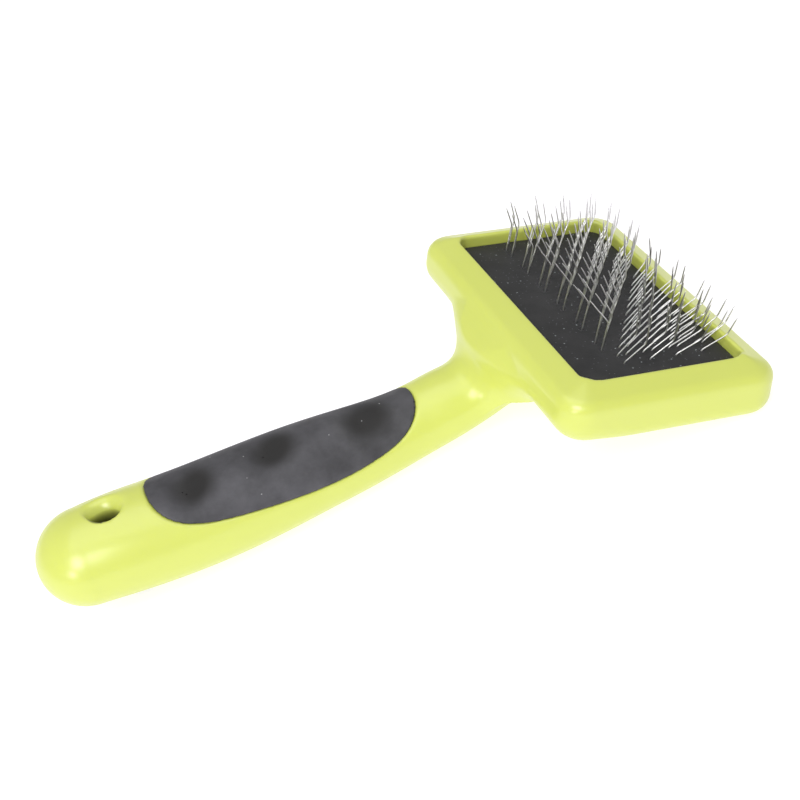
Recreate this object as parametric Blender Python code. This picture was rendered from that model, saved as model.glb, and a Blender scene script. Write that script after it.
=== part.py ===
"""Slicker brush: a moulded handle and head, a soft grip, a laminated pad and twelve rows of bent wire pins.

Lengths are given in millimetres in the head's own axes and turned into metres as each piece is made.
Head axes: +X away from the handle, +Z out of the pad towards the pin tips, origin at the middle of the
pad window's near edge, level with the rim. The whole brush hangs on one empty that lays it on its back,
the way it rests on a table: on the belly of the handle and on the far edge of the head.
"""
import math

import bmesh
import bpy
from mathutils import Matrix, Vector

MM = 0.001
GAP = 0.3                      # clearance between neighbouring pieces

# Head: a shallow tray with a sloping rim round a window.
WINDOW_DEPTH = 44.95           # along X
WINDOW_WIDTH = 83.94           # along Y
WINDOW_RADIUS = 5.0
RIM_NEAR = 8.0                 # rim between window and outer wall, on the handle's side
RIM_FAR = 7.6
RIM_SIDE = 8.03
HEAD_RADIUS = 8.0              # outer corners, seen from above
RIM_DROP = 2.9                 # from the window's edge down to the rim's outer crease
CREASE_ROUND = 0.8
HEAD_THICKNESS = 15.0
UNDER_ROUND = 5.0              # rounding between the side wall and the flat back
NEAR_ROUND_SHARE = 0.8         # the same on the handle's side, as a share of it
NEAR_FLARE = 0.7               # the near wall leans out this much on its way down
NECK_SWELL = 3.0               # and swells this much further towards the neck
RECESS_FLOOR = -11.2

# Pad: rubber face, foam cushion and woven foundation, from the top down.
PAD_FACE_TOP = -3.25
PAD_FACE_THICKNESS = 1.2
CUSHION_THICKNESS = 3.3
FOUNDATION_THICKNESS = 1.0
SLOT_WIDTH = 1.05

# Pins: U-shaped staples in rows across the head, each row one step of the twill further on.
ROW_COUNT = 12
ROW_PITCH = 2.45
FIRST_ROW_X = 13.4
LEG_SPACING = 3.8
TWILL_STEPS = 3
STAPLE_PITCH = TWILL_STEPS * LEG_SPACING
FIRST_LEG_Y, LAST_LEG_Y = -32.0, 40.3
WIRE = 0.45
TIP_WIRE = 0.16
LOWER_LEG, UPPER_LEG = 7.7, 5.5
CROWN_TOP = PAD_FACE_TOP - PAD_FACE_THICKNESS - CUSHION_THICKNESS - FOUNDATION_THICKNESS - 3 * GAP

# Handle: centre line (x, z) with half width and half height of its oval section, butt first.
HANDLE_STATIONS = (
    (-117.0, -56.0, 14.7, 12.0),
    (-110.0, -54.4, 15.3, 12.4),
    (-95.0, -51.4, 15.6, 12.6),
    (-80.0, -47.6, 15.5, 12.5),
    (-57.0, -40.6, 14.2, 11.5),
    (-41.4, -36.2, 12.6, 10.2),
    (-26.0, -30.9, 11.1, 9.0),
    (-18.0, -27.4, 11.0, 8.8),
    (-12.0, -23.4, 13.0, 8.6),
    (-6.5, -17.0, 17.6, 8.9),
    (-1.0, -11.8, 20.5, 6.4),
    (4.0, -9.8, 21.5, 4.6),
)
BUTT_LENGTH = 12.6
BUTT_STEPS = 5
STEPS_PER_SPAN = 2
SECTION_SIDES = 28

# Hanging hole through the butt, upright when the brush lies on its back.
HOLE_X, HOLE_TOP_Z = -112.3, -42.3
HOLE_SIDES = 24
# Radius and height of each ring of the bore, from below the handle up past its flared mouth.
HOLE_PROFILE = ((3.5, -40.0), (3.5, -4.0), (4.4, -1.6), (5.6, 0.0), (7.6, 3.0))

# Grip: what a side-on curve leaves of a soft layer over the top and both flanks of the handle.
GRIP_THICKNESS = 2.4
GRIP_EDGE = (
    (-101.2, -37.0),
    (-100.2, -39.6),
    (-97.4, -41.6),
    (-91.5, -43.0),
    (-81.0, -42.4),
    (-67.0, -40.2),
    (-52.0, -37.0),
    (-41.0, -33.2),
    (-34.0, -29.3),
    (-30.2, -25.0),
    (-28.9, -21.5),
    (-28.8, -18.0),
)
DIMPLES = ((-89.4, 1.3), (-67.3, 1.3), (-42.1, 1.1))   # x of each thumb dimple and its depth
DIMPLE_RADIUS = 9.0

CLEAR_ABOVE = 10.0             # a height over every piece, for cutters that open upwards
CLEAR_ASIDE = 30.0             # half width of a slab that spans the handle

# Resting pose: the head leans by this much when the brush lies on its back.
REST_TILT = math.radians(19.8)


def clear_scene():
    for obj in list(bpy.data.objects):
        bpy.data.objects.remove(obj, do_unlink=True)


def make_material(name, colour, roughness, metallic=0.0):
    material = bpy.data.materials.new(name)
    material.use_nodes = True
    shader = material.node_tree.nodes["Principled BSDF"]
    shader.inputs["Base Color"].default_value = (*colour, 1.0)
    shader.inputs["Roughness"].default_value = roughness
    shader.inputs["Metallic"].default_value = metallic
    return material


def piece(name, bm, material, parent):
    """Turn a bmesh in millimetres into a named object in metres under the brush's empty."""
    bmesh.ops.recalc_face_normals(bm, faces=bm.faces)
    bmesh.ops.scale(bm, vec=(MM, MM, MM), verts=bm.verts)
    mesh = bpy.data.meshes.new(name)
    bm.to_mesh(mesh)
    bm.free()
    mesh.materials.append(material)
    mesh.shade_smooth()
    mesh.set_sharp_from_angle(angle=math.radians(35))
    obj = bpy.data.objects.new(name, mesh)
    bpy.context.collection.objects.link(obj)
    obj.parent = parent
    return obj


def cutter(name, bm, material, parent):
    obj = piece(name, bm, material, parent)
    obj.hide_render = True
    obj.display_type = "WIRE"
    return obj


def boolean(obj, other, operation):
    modifier = obj.modifiers.new(other.name, "BOOLEAN")
    modifier.object = other
    modifier.operation = operation
    modifier.solver = "EXACT"


def loft(rings):
    """A closed solid through rings of equal point counts, with a flat cap on each end."""
    bm = bmesh.new()
    loops = [[bm.verts.new(point) for point in ring] for ring in rings]
    for low, high in zip(loops, loops[1:]):
        for i in range(len(low)):
            j = (i + 1) % len(low)
            bm.faces.new((low[i], low[j], high[j], high[i]))
    bm.faces.new(loops[0])
    bm.faces.new(loops[-1])
    return bm


def rounded_rectangle(x_low, x_high, half_width, radius, z, steps=4):
    """Outline of a rounded rectangle at height z, counter-clockwise from above."""
    points = []
    centres = ((x_high - radius, half_width - radius), (x_low + radius, half_width - radius),
               (x_low + radius, radius - half_width), (x_high - radius, radius - half_width))
    for quarter, (x, y) in enumerate(centres):
        for step in range(steps + 1):
            angle = math.pi / 2 * (quarter + step / steps)
            points.append((x + radius * math.cos(angle), y + radius * math.sin(angle), z))
    return points


def smooth_path(stations, steps):
    """Points on a Catmull-Rom curve through the stations, with both ends included."""
    padded = [stations[0], *stations, stations[-1]]
    points = []
    for p0, p1, p2, p3 in zip(padded, padded[1:], padded[2:], padded[3:]):
        for step in range(steps):
            t = step / steps
            points.append(tuple(
                0.5 * (2 * b + (c - a) * t + (2 * a - 5 * b + 4 * c - d) * t * t
                       + (3 * b - a - 3 * c + d) * t ** 3)
                for a, b, c, d in zip(p0, p1, p2, p3)))
    return points + [tuple(stations[-1])]


def oval(x, z, half_width, half_height, direction):
    """Oval section of the handle, square to its direction in the XZ plane."""
    up_x, up_z = -direction[1], direction[0]
    ring = []
    for i in range(SECTION_SIDES):
        angle = 2 * math.pi * i / SECTION_SIDES
        rise = half_height * math.sin(angle)
        ring.append((x + up_x * rise, half_width * math.cos(angle), z + up_z * rise))
    return ring


def handle_rings(inset=0.0):
    """Sections of the handle from the rounded butt to the neck's root inside the head."""
    path = smooth_path(HANDLE_STATIONS, STEPS_PER_SPAN)
    rings = []
    for i, (x, z, half_width, half_height) in enumerate(path):
        before, after = path[max(i - 1, 0)], path[min(i + 1, len(path) - 1)]
        along = Vector((after[0] - before[0], after[1] - before[1])).normalized()
        if i == 0:
            for step in range(BUTT_STEPS, 0, -1):
                angle = math.radians(86) * step / BUTT_STEPS
                back = (BUTT_LENGTH - inset) * math.sin(angle)
                shrink = math.cos(angle) ** 0.9
                rings.append(oval(x - along.x * back, z - along.y * back, (half_width - inset) * shrink,
                                  (half_height - inset) * shrink, along))
        rings.append(oval(x, z, half_width - inset, half_height - inset, along))
    return rings


def head_outline(near, far, side, radius, swell, z, steps=8):
    """A rounded rectangle whose near edge swells towards the neck in a shallow arch."""
    points = rounded_rectangle(near, far, side, radius, z)
    half = side - radius
    arch = []
    for step in range(1, steps):
        y = half * (1 - 2 * step / steps)
        arch.append((near - swell * (1 - (y / half) ** 2), y, z))
    corner = len(points) // 2
    return points[:corner] + arch + points[corner:]


def head_rings():
    """Outlines of the head from its flat back, round the side wall and up the sloping rim."""
    far, side = WINDOW_DEPTH + RIM_FAR, WINDOW_WIDTH / 2 + RIM_SIDE
    wall_top = -RIM_DROP - CREASE_ROUND
    rings = []
    for step in range(4):
        angle = math.pi / 2 * step / 3
        inset = UNDER_ROUND * (1 - math.sin(angle))
        z = -HEAD_THICKNESS + UNDER_ROUND * (1 - math.cos(angle))
        rings.append(head_outline(-RIM_NEAR - NEAR_FLARE + inset * NEAR_ROUND_SHARE, far - inset, side - inset,
                                  HEAD_RADIUS - inset * 0.6, NECK_SWELL, z))
    rings.append(head_outline(-RIM_NEAR, far, side, HEAD_RADIUS, NECK_SWELL * 0.2, wall_top))
    for along, z in ((0.03, wall_top + CREASE_ROUND * 0.7), (0.12, -RIM_DROP * 0.9), (0.85, 0.0)):
        rings.append(head_outline(-RIM_NEAR * (1 - along), WINDOW_DEPTH + RIM_FAR * (1 - along),
                                  WINDOW_WIDTH / 2 + RIM_SIDE * (1 - along),
                                  HEAD_RADIUS + (WINDOW_RADIUS - HEAD_RADIUS) * along, 0.0, z))
    return rings


def window_prism(low, high, clearance=0.0):
    """A slab of the window's outline between two heights, smaller all round by the clearance."""
    outline = (clearance, WINDOW_DEPTH - clearance, WINDOW_WIDTH / 2 - clearance, WINDOW_RADIUS - clearance)
    return loft([rounded_rectangle(*outline, low), rounded_rectangle(*outline, high)])


def hole_cutter_bmesh():
    """A round bore with a flared mouth, upright when the brush is at rest."""
    rings = []
    for radius, height in HOLE_PROFILE:
        rings.append([(radius * math.cos(2 * math.pi * i / HOLE_SIDES),
                       radius * math.sin(2 * math.pi * i / HOLE_SIDES), height) for i in range(HOLE_SIDES)])
    bm = loft(rings)
    upright = Matrix.Translation((HOLE_X, 0.0, HOLE_TOP_Z)) @ Matrix.Rotation(-REST_TILT, 4, "Y")
    bmesh.ops.transform(bm, matrix=upright, verts=bm.verts)
    return bm


def grip_prism(clearance=0.0):
    """Everything above the grip's edge, seen side on, as one slab across the handle."""
    edge = smooth_path(GRIP_EDGE, 2)
    middle_x = (GRIP_EDGE[0][0] + GRIP_EDGE[-1][0]) / 2
    outline = []
    for i, (x, z) in enumerate(edge):
        before, after = edge[max(i - 1, 0)], edge[min(i + 1, len(edge) - 1)]
        along = Vector((after[0] - before[0], after[1] - before[1])).normalized()
        outline.append((x + along.y * clearance, z - along.x * clearance))
    for x in (outline[-1][0], middle_x, outline[0][0]):
        outline.append((x, CLEAR_ABOVE))
    return loft([[(x, y, z) for x, z in outline] for y in (-CLEAR_ASIDE, CLEAR_ASIDE)])


def dimple_bmesh(x, depth):
    """A shallow ball that dents the grip's crest at x."""
    path = smooth_path(HANDLE_STATIONS, 8)
    station = min(path, key=lambda point: abs(point[0] - x))
    index = path.index(station)
    along = Vector((path[index + 1][0] - path[index][0], path[index + 1][1] - path[index][1])).normalized()
    rise = station[3] - depth + DIMPLE_RADIUS
    bm = bmesh.new()
    bmesh.ops.create_icosphere(bm, subdivisions=2, radius=DIMPLE_RADIUS)
    bmesh.ops.translate(bm, vec=(station[0] - along.y * rise, 0.0, station[1] + along.x * rise), verts=bm.verts)
    return bm


def build_body(material, parent):
    body = piece("body", loft(head_rings()), material, parent)
    boolean(body, cutter("handle_guide", loft(handle_rings()), material, parent), "UNION")
    boolean(body, cutter("recess_cutter", window_prism(RECESS_FLOOR, CLEAR_ABOVE), material, parent), "DIFFERENCE")
    boolean(body, cutter("hole_cutter", hole_cutter_bmesh(), material, parent), "DIFFERENCE")
    pocket = cutter("pocket_cutter", grip_prism(GAP), material, parent)
    boolean(pocket, cutter("pocket_floor", loft(handle_rings(GRIP_THICKNESS + GAP)), material, parent), "DIFFERENCE")
    boolean(body, pocket, "DIFFERENCE")


def build_grip(material, parent):
    grip = piece("grip", loft(handle_rings()), material, parent)
    boolean(grip, cutter("grip_outline", grip_prism(), material, parent), "INTERSECT")
    boolean(grip, cutter("grip_core", loft(handle_rings(GRIP_THICKNESS)), material, parent), "DIFFERENCE")
    for number, (x, depth) in enumerate(DIMPLES, 1):
        boolean(grip, cutter(f"dimple_{number}", dimple_bmesh(x, depth), material, parent), "DIFFERENCE")


def row_x(row):
    return FIRST_ROW_X + ROW_PITCH * row


def row_starts(row):
    """Y of each staple's first leg in a row: the rows step sideways in turn, as in a twill."""
    start = FIRST_LEG_Y + LEG_SPACING * ((row - 1) % TWILL_STEPS)
    count = 1 + int((LAST_LEG_Y - LEG_SPACING - start) / STAPLE_PITCH)
    return [start + STAPLE_PITCH * staple for staple in range(count)]


def past_parting(row, y):
    """How far a pin stands on the -Y side of the lane that the twill leaves; those pins lean further forward."""
    return FIRST_LEG_Y + LEG_SPACING * (row + 1) - y


def clearing_lean(row):
    """The furthest that a row's pins can lean forward and pass over the edge of the window."""
    return math.degrees(math.atan2(WINDOW_DEPTH - row_x(row) - WIRE, WIRE - PAD_FACE_TOP))


def between(low, high, share):
    return low + (high - low) * min(max(share, 0.0), 1.0)


def pin_leans(row, y):
    """Leans of a pin's lower and upper parts away from the handle, and of both to the side."""
    along = row / (ROW_COUNT - 1)
    past = past_parting(row, y)
    if past > 0.0:
        lower = min(between(36.0, 58.0, (past - 2.0) / 26.0), clearing_lean(row))
        upper = between(-12.0, 17.0, past / 36.0)
        side = between(0.0, -11.0, -y / 32.0)
    else:
        end_share = (y - 8.0) / 30.0
        lower = between(10.0, 36.0, along)
        upper = between(-38.0, 8.0, along) + between(0.0, between(20.0, 2.0, along), end_share)
        side = between(2.0, between(4.0, 18.0, 2.5 * along), end_share)
    return math.radians(lower), math.radians(upper), math.radians(side)


def slotted_layer(name, top, thickness, material, parent):
    """One layer of the pad, with a slot for each row of pins to stand in."""
    layer = piece(name, window_prism(top - thickness, top, GAP), material, parent)
    bm = bmesh.new()
    for row in range(ROW_COUNT):
        first, last = row_starts(row)[0], row_starts(row)[-1] + LEG_SPACING
        size = (SLOT_WIDTH, last - first + 2 * SLOT_WIDTH, thickness + 4.0)
        centre = (row_x(row), (first + last) / 2, top - thickness / 2)
        place = Matrix.Translation(centre) @ Matrix.Diagonal((*size, 1.0))
        bmesh.ops.create_cube(bm, size=1.0, matrix=place)
    boolean(layer, cutter(name + "_slots", bm, material, parent), "DIFFERENCE")


def leaning(length, ahead, side):
    up = length * math.cos(ahead)
    return Vector((length * math.sin(ahead), up * math.sin(side), up * math.cos(side)))


def pin_sections(row, y):
    """Square sections of one pin, where it leaves the pad, at its knee and at its tip."""
    lower, upper, side = pin_leans(row, y)
    surface = Vector((row_x(row), y, PAD_FACE_TOP + GAP))
    knee = surface + leaning(LOWER_LEG, lower, side)
    tip = knee + leaning(UPPER_LEG, upper, side)
    return ((surface, WIRE), (knee, WIRE), (tip, TIP_WIRE))


def square(centre, side):
    half = side / 2
    return [Vector((centre.x + i * half, centre.y + j * half, centre.z))
            for i, j in ((-1, -1), (1, -1), (1, 1), (-1, 1))]


def build_pin_row(row, material, parent):
    """A row of staples whose crowns are run together into one wire bar under the foundation."""
    bm = bmesh.new()
    x = row_x(row)
    legs = [y + leg * LEG_SPACING for y in row_starts(row) for leg in (0, 1)]
    low, high = CROWN_TOP - WIRE, CROWN_TOP

    def edge_pair(y, z):
        return [bm.verts.new((x + side * WIRE / 2, y, z)) for side in (-1, 1)]

    top = []
    for y in legs:
        near, far = edge_pair(y - WIRE / 2, high), edge_pair(y + WIRE / 2, high)
        top += [near, far]
        below = [near[0], near[1], far[1], far[0]]
        for centre, side in pin_sections(row, y):
            above = [bm.verts.new(point) for point in square(centre, side)]
            for i in range(4):
                j = (i + 1) % 4
                bm.faces.new((below[i], below[j], above[j], above[i]))
            below = above
        bm.faces.new(below)
    for near, far in zip(top[1::2], top[2::2]):
        bm.faces.new((near[0], near[1], far[1], far[0]))
    first, last = edge_pair(legs[0] - WIRE / 2, low), edge_pair(legs[-1] + WIRE / 2, low)
    bm.faces.new((first[0], first[1], last[1], last[0]))
    bm.faces.new((first[0], first[1], top[0][1], top[0][0]))
    bm.faces.new((last[0], last[1], top[-1][1], top[-1][0]))
    for side in (0, 1):
        bm.faces.new([first[side], last[side]] + [pair[side] for pair in reversed(top)])
    piece(f"pin_row_{row + 1:02d}", bm, material, parent)


def lay_on_table(brush):
    """Lean the brush into its resting pose, with the middle of its base at the world's origin."""
    brush.rotation_euler = (0.0, REST_TILT, 0.0)
    bpy.context.view_layer.update()
    graph = bpy.context.evaluated_depsgraph_get()
    corners = []
    for obj in brush.children:
        if not obj.hide_render:
            shape = obj.evaluated_get(graph)
            corners += [obj.matrix_world @ vertex.co for vertex in shape.data.vertices]
    low = Vector([min(corner[axis] for corner in corners) for axis in range(3)])
    high = Vector([max(corner[axis] for corner in corners) for axis in range(3)])
    brush.location = (-(low.x + high.x) / 2, -(low.y + high.y) / 2, -low.z)
    bpy.context.view_layer.update()


def build():
    clear_scene()
    brush = bpy.data.objects.new("brush_at_rest", None)
    bpy.context.collection.objects.link(brush)
    lime = make_material("lime_plastic", (0.62, 0.72, 0.14), 0.3)
    grey = make_material("grip_rubber", (0.055, 0.055, 0.06), 0.7)
    black = make_material("pad_rubber", (0.02, 0.02, 0.022), 0.8)
    foam = make_material("cushion_foam", (0.35, 0.35, 0.33), 0.9)
    cloth = make_material("foundation_cloth", (0.45, 0.38, 0.27), 0.95)
    steel = make_material("pin_steel", (0.62, 0.62, 0.62), 0.25, 1.0)

    build_body(lime, brush)
    build_grip(grey, brush)
    top = PAD_FACE_TOP
    slotted_layer("pad_face", top, PAD_FACE_THICKNESS, black, brush)
    top -= PAD_FACE_THICKNESS + GAP
    slotted_layer("pad_cushion", top, CUSHION_THICKNESS, foam, brush)
    top -= CUSHION_THICKNESS + GAP
    slotted_layer("pad_foundation", top, FOUNDATION_THICKNESS, cloth, brush)
    for row in range(ROW_COUNT):
        build_pin_row(row, steel, brush)
    lay_on_table(brush)


build()
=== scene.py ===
"""Looks of the slicker brush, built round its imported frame.

Shapes are worked out in millimetres in the head's own axes: +X away from the handle, +Z out of the pad
towards the pin tips, origin at the middle of the pad window's near edge, level with the rim.
The matrix to_frame carries them to the frame, in metres, where the brush lies on its back.
The body and the grip are distance fields on a grid, turned into smooth meshes by mesh_of_field().
"""
import math
import random

import bpy
import numpy as np
from mathutils import Matrix, Vector

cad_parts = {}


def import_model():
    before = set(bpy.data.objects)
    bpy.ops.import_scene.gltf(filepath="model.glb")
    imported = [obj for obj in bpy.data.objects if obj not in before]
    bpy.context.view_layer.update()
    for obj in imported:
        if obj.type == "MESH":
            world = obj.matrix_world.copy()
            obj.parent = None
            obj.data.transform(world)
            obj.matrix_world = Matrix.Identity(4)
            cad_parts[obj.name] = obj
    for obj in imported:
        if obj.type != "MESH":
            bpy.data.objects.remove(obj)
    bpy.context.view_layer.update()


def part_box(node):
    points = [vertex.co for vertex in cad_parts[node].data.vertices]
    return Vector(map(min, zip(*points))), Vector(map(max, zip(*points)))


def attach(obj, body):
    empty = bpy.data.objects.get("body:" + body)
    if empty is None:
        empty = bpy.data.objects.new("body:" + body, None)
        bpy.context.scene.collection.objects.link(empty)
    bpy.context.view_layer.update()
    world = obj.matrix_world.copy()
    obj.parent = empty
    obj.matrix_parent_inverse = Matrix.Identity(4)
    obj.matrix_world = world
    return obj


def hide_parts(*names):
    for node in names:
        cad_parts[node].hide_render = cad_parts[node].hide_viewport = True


MM = 0.001
REST_TILT = math.radians(19.8)

# Head: the window is the opening that the pad lies in, and the rim slopes down from it by RIM_DROP.
WINDOW_DEPTH, WINDOW_WIDTH, WINDOW_RADIUS = 44.95, 83.94, 4.0
WINDOW_EDGE_ROUND = 0.7
RIM_NEAR, RIM_FAR, RIM_SIDE = 8.0, 7.1, 8.03
RIM_DROP = 2.9
HEAD_RADIUS = 8.0
HEAD_THICKNESS = 15.0
CREASE_ROUND = 2.2
UNDER_ROUND, NEAR_UNDER_ROUND = 5.0, 7.5
RECESS_FLOOR = -11.2

# The head's near side swells down towards the neck: at its ends, at its middle, how far along it and
# to which x on the head.
NEAR_FLARE, NECK_SWELL, SWELL_REACH, SWELL_END = 0.6, 1.2, 32.0, 12.0
SWELL_LOW = 3.0                         # the swell is full this far above the head's back

# Handle: centre line (x, z), half width and half height of its oval section, butt first.
HANDLE_STATIONS = np.array((
    (-117.0, -56.0, 14.7, 12.0),
    (-110.0, -54.4, 15.3, 12.4),
    (-95.0, -51.4, 15.6, 12.6),
    (-80.0, -47.6, 15.5, 12.5),
    (-57.0, -40.6, 14.2, 11.5),
    (-41.4, -36.2, 12.6, 10.2),
    (-26.0, -30.9, 11.1, 9.0),
    (-18.0, -27.4, 11.0, 8.8),
    (-12.0, -24.4, 11.4, 8.1),
    (-6.5, -19.4, 14.2, 7.6),
    (-1.0, -14.4, 18.0, 5.9),
    (4.0, -12.0, 20.0, 4.6),
))
BUTT_LENGTH = 13.4

# Neck: an oval column under the head's near side. Its fillet with the head grows from nothing at the rim's
# crease to its full radius at HEAD_FILLET_DEPTH below the rim's level.
NECK_CENTRE_X, NECK_HALF_DEPTH, NECK_HALF_WIDTH, NECK_TOP = -1.0, 11.5, 19.0, -5.0
NECK_SLOPE, SHOULDER_SLOPE, SHOULDER_TOP = 0.2, 1.3, -6.0
NECK_FILLET, HEAD_FILLET, HEAD_FILLET_DEPTH, LEAST_FILLET = 2.4, 8.5, 10.0, 0.01

# Hanging hole: upright when the brush lies on its back.
HOLE_X, HOLE_Y, HOLE_TOP_Z = -112.8, -1.0, -42.3
HOLE_RADIUS, HOLE_MOUTH_RADIUS, HOLE_EDGE_ROUND = 3.5, 5.5, 0.5
MOUTH_SHIFT = (1.2, 1.9)                # the funnel opens more towards the head and the far side
MOUTH_DEPTH, MOUTH_LEVEL, MOUTH_LIMIT = 1.5, 0.6, 2.0       # steepness, start and end of its curve

# Grip: its lower edge seen side on as (x, z), and the dimples' place across its top.
GRIP_THICKNESS, GRIP_EDGE_ROUND = 2.4, 0.35
GRIP_EDGE = np.array((
    (-103.2, -36.0), (-101.8, -39.4), (-98.8, -41.6), (-92.5, -43.1), (-81.0, -42.4), (-67.0, -40.2),
    (-52.0, -37.0), (-41.0, -33.2), (-34.0, -29.3), (-29.9, -25.0), (-28.2, -21.5), (-27.8, -18.0),
))
GRIP_CLOSE_Z = 20.0
SEAM, POCKET_EDGE_ROUND = 0.12, 0.25
DIMPLES = ((-89.4, -3.0, 1.9), (-67.3, -1.5, 1.9), (-42.1, -2.5, 1.6))     # x, y and depth
DIMPLE_LENGTH, DIMPLE_WIDTH, DIMPLE_FADE = 8.0, 9.5, 4.0

# Pad: three layers, each a grid with a step of about PAD_STEP.
PAD_FACE_TOP, PAD_FACE_THICKNESS = -3.25, 1.2
CUSHION_THICKNESS, FOUNDATION_THICKNESS, LAYER_GAP = 3.3, 1.0, 0.3
PAD_STEP = 0.4
WAVE_HEIGHT, WAVE_TURNS, WAVE_START = 0.05, (0.31, 0.23), 1.3       # the layers aren't quite flat
PUCKER_REACH, PUCKER_RING = 0.45, 1.0
SLAB_SHARP_ANGLE = math.radians(50)

# Pins: rows along X, and in a row staples of two legs each, in a three-step twill.
ROW_COUNT, ROW_PITCH, FIRST_ROW_X = 12, 2.45, 13.4
LEG_SPACING, TWILL_STEPS = 3.8, 3
FIRST_LEG_Y, LAST_LEG_Y = -32.0, 40.3
WIRE = 0.42
LOWER_LEG, UPPER_LEG = 7.7, 5.5

# Leans in degrees, as (where a change starts, where it ends). Forward pins are those on the -Y side of the
# parting, and theirs change with how far from it they stand. The others' change with the row, and towards
# the +Y end their upper lean gains END_UPPER and their side lean becomes END_SIDE, both by row as well.
FORWARD_LOWER, FORWARD_UPPER, FORWARD_SIDE = (36.0, 58.0), (-12.0, 17.0), (0.0, -11.0)
FORWARD_START, FORWARD_LOWER_REACH, FORWARD_UPPER_REACH = 2.0, 26.0, 36.0
BACK_LOWER, BACK_UPPER, BACK_SIDE = (10.0, 36.0), (-38.0, 8.0), 2.0
END_START, END_REACH, END_UPPER, END_SIDE, END_SIDE_RATE = 8.0, 30.0, (20.0, 2.0), (4.0, 18.0), 2.5
LEAN_JITTER = math.radians(1.7)
SEED = 7
LOWER_SCATTER, UPPER_SCATTER = 0.12, 0.18
KNEE_ROUND, KNEE_STEPS, WIRE_SIDES = 0.9, 4, 8
MOST_CUT = 0.45                         # the share of a stretch that a rounded corner may take
TAPER = ((0.0, 0.28), (0.08, 0.55), (0.3, 0.92))      # how far back from the tip, share of the wire's radius
PAD_THICKNESS = PAD_FACE_THICKNESS + CUSHION_THICKNESS + FOUNDATION_THICKNESS + 3 * LAYER_GAP
CROWN_Z = PAD_FACE_TOP - PAD_THICKNESS - WIRE / 2

# Fineness and corners of the grids that the body and the grip are meshed on.
BODY_PITCH, BODY_GRID = 0.605, ((-133.0, -52.0, -71.0), (55.0, 52.0, 2.0))
GRIP_PITCH, GRIP_GRID = 0.42, ((-105.0, -18.0, -55.0), (-26.0, 18.0, -19.0))
EVENING_ROUNDS = 3

# Colours
LIME, LIME_DEEP = (0.70, 0.76, 0.155), (0.67, 0.735, 0.14)
# painted shade inside the hanging hole, where the bore lies in shadow
BORE_PAINTED_SHADE = (0.11, 0.12, 0.025, 1.0)
CHARCOAL, CHARCOAL_WORN = (0.046, 0.045, 0.05), (0.104, 0.102, 0.114)
# the dark for the dimples is painted shade, with a little less dust there
DIMPLE_PAINTED_SHADE, GRIP_DUST = (0.017, 0.016, 0.016, 1.0), (0.32, 0.32, 0.33, 1.0)
PAD_BLACK, PAD_WORN = (0.013, 0.013, 0.014), (0.028, 0.0275, 0.029)
PAD_LINT, PAD_DUST = (0.11, 0.12, 0.125, 1.0), (0.3, 0.33, 0.34, 1.0)
STEEL_DULL, STEEL_BRIGHT = (0.68, 0.68, 0.68), (0.8, 0.79, 0.78)
FOAM_DARK, FOAM_LIGHT = (0.2, 0.2, 0.19), (0.4, 0.4, 0.38)
CLOTH_DARK, CLOTH_LIGHT = (0.3, 0.25, 0.17), (0.5, 0.43, 0.31)

# Where the painted shade in the bore and in the dimples starts to fade and ends, in metres from its middle.
BORE_SHADE_REACH = (0.0036, 0.0042)
DIMPLE_SHADE_REACH = (0.003, 0.0092)

# Floor: half its width in metres, its grey and its own glow.
FLOOR_REACH, FLOOR_GREY = 6.0, (0.5, 0.5, 0.5)
FLOOR_GLOW, FLOOR_GLOW_COLOUR = 0.74, (0.96, 0.94, 1.0, 1.0)

# Light: name, place, size and power of each soft box, in the frame's metres. All aim at LIGHT_TARGET.
WORLD_STRENGTH = 0.45
LIGHT_TARGET = (0.0, 0.0, 0.02)
LIGHTS = (
    ("key", (-0.47, -0.70, 0.95), (0.55, 0.55), 6.8),
    ("low_key", (-0.85, -0.75, 0.45), (0.2, 0.2), 1.9),
    ("overhead", (0.05, 0.1, 0.95), (0.8, 0.8), 2.6),
)

# Camera, in the head's axes: its place, and which way its right, down and view directions point.
CAMERA_PLACE = (-153.3, -314.6, 182.4)
CAMERA_AXES = (
    (0.9389, -0.3428, 0.0305),
    (-0.1549, -0.5000, -0.8521),
    (0.3073, 0.7953, -0.5226),
)
CAMERA_LENS, CAMERA_SENSOR = 66.90, 36.0


# ---------------------------------------------------------------- frame

def frame_matrix():
    """Head axes in millimetres to the frame in metres. The pad's box gives the offset."""
    low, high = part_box("pad_face")
    centre = (low + high) / 2
    turn = Matrix.Rotation(REST_TILT, 4, "Y")
    pad_centre = Vector((WINDOW_DEPTH / 2, 0.0, PAD_FACE_TOP - PAD_FACE_THICKNESS / 2)) * MM
    return Matrix.Translation(centre - turn @ pad_centre) @ turn @ Matrix.Scale(MM, 4)


def add_mesh(name, vertices, faces, normals, to_frame):
    """A mesh object from points in head axes, smooth shaded, with its own normals unless they are None."""
    matrix = np.array(to_frame)
    vertices = np.asarray(vertices, float) @ matrix[:3, :3].T + matrix[:3, 3]
    mesh = bpy.data.meshes.new(name)
    mesh.from_pydata(vertices.tolist(), [], [list(face) for face in faces])
    mesh.shade_smooth()
    if normals is not None:
        turned = normals @ (matrix[:3, :3] / MM).T
        mesh.normals_split_custom_set_from_vertices(turned.tolist())
    obj = bpy.data.objects.new(name, mesh)
    bpy.context.collection.objects.link(obj)
    return obj


# ---------------------------------------------------------------- distance fields

def round_max(a, b, radius):
    """Intersection of two fields whose shared edge is rounded."""
    return (np.minimum(np.maximum(a, b) + radius, 0.0) - radius
            + np.hypot(np.maximum(a + radius, 0.0), np.maximum(b + radius, 0.0)))


def round_min(a, b, radius):
    """Union of two fields with a fillet between them."""
    return -round_max(-a, -b, radius)


def smooth_step(x, low, high):
    """0 below low, 1 above high and a smooth rise between."""
    t = np.clip((x - low) / (high - low), 0.0, 1.0)
    return t * t * (3.0 - 2.0 * t)


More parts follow.
